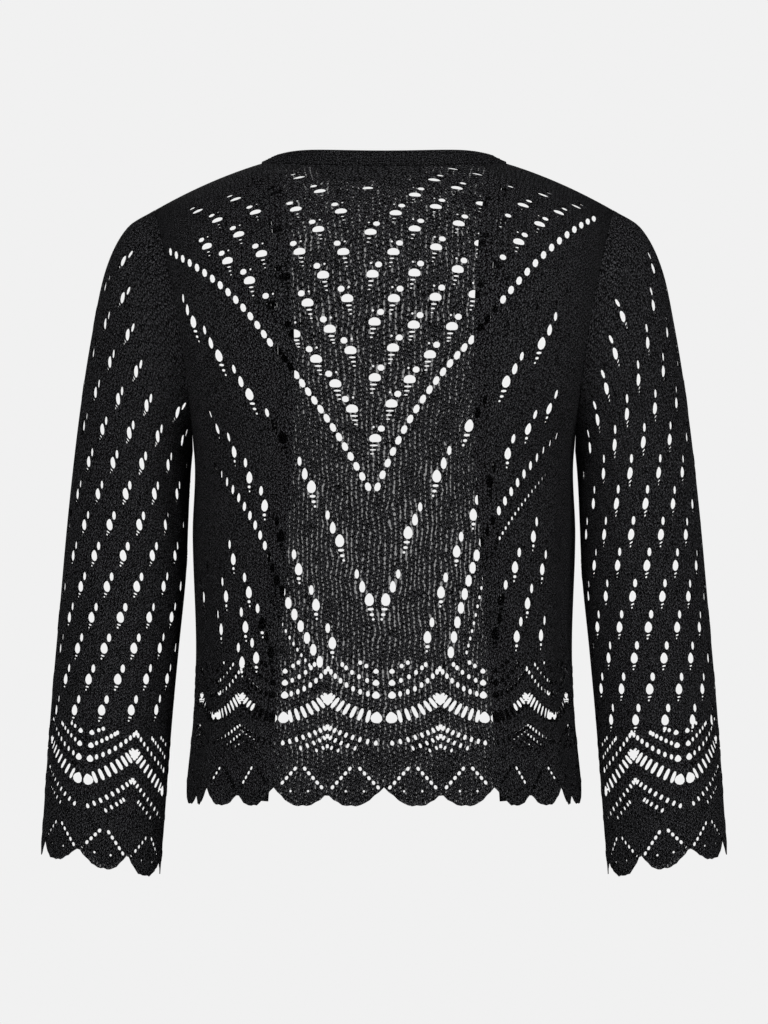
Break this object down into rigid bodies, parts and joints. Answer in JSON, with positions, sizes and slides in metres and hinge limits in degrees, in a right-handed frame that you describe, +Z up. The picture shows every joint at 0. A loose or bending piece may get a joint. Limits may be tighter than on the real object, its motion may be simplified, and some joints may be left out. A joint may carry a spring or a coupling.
{
  "type": "cropped cardigan",
  "caption": "Cropped, open-fronted cardigan in black openwork knit, worn and hollow, with loose sleeves, a narrow ridged neck band and scalloped hem and cuffs.",
  "frame": {"origin": "between the wearer's shoulders, level with the root of the neck band, where the shoulders carry the cloth", "axes": "+Z up, +X to the wearer's left, and the front faces -Y"},
  "size_m": [0.5252, 0.2191, 0.5532],
  "materials": {
    "lace_knit": "matte cotton yarn with a low sheen",
    "band_knit": "matte cotton yarn in crosswise ridges"
  },
  "bodies": {
    "root": {"back": "lace_knit", "front_left": "lace_knit", "front_right": "lace_knit", "sleeve_left_back": "lace_knit", "sleeve_left_front": "lace_knit", "sleeve_right_back": "lace_knit", "sleeve_right_front": "lace_knit", "neck_band": "band_knit", "front_band_left": "band_knit", "front_band_right": "band_knit"}
  },
  "joints": []
}
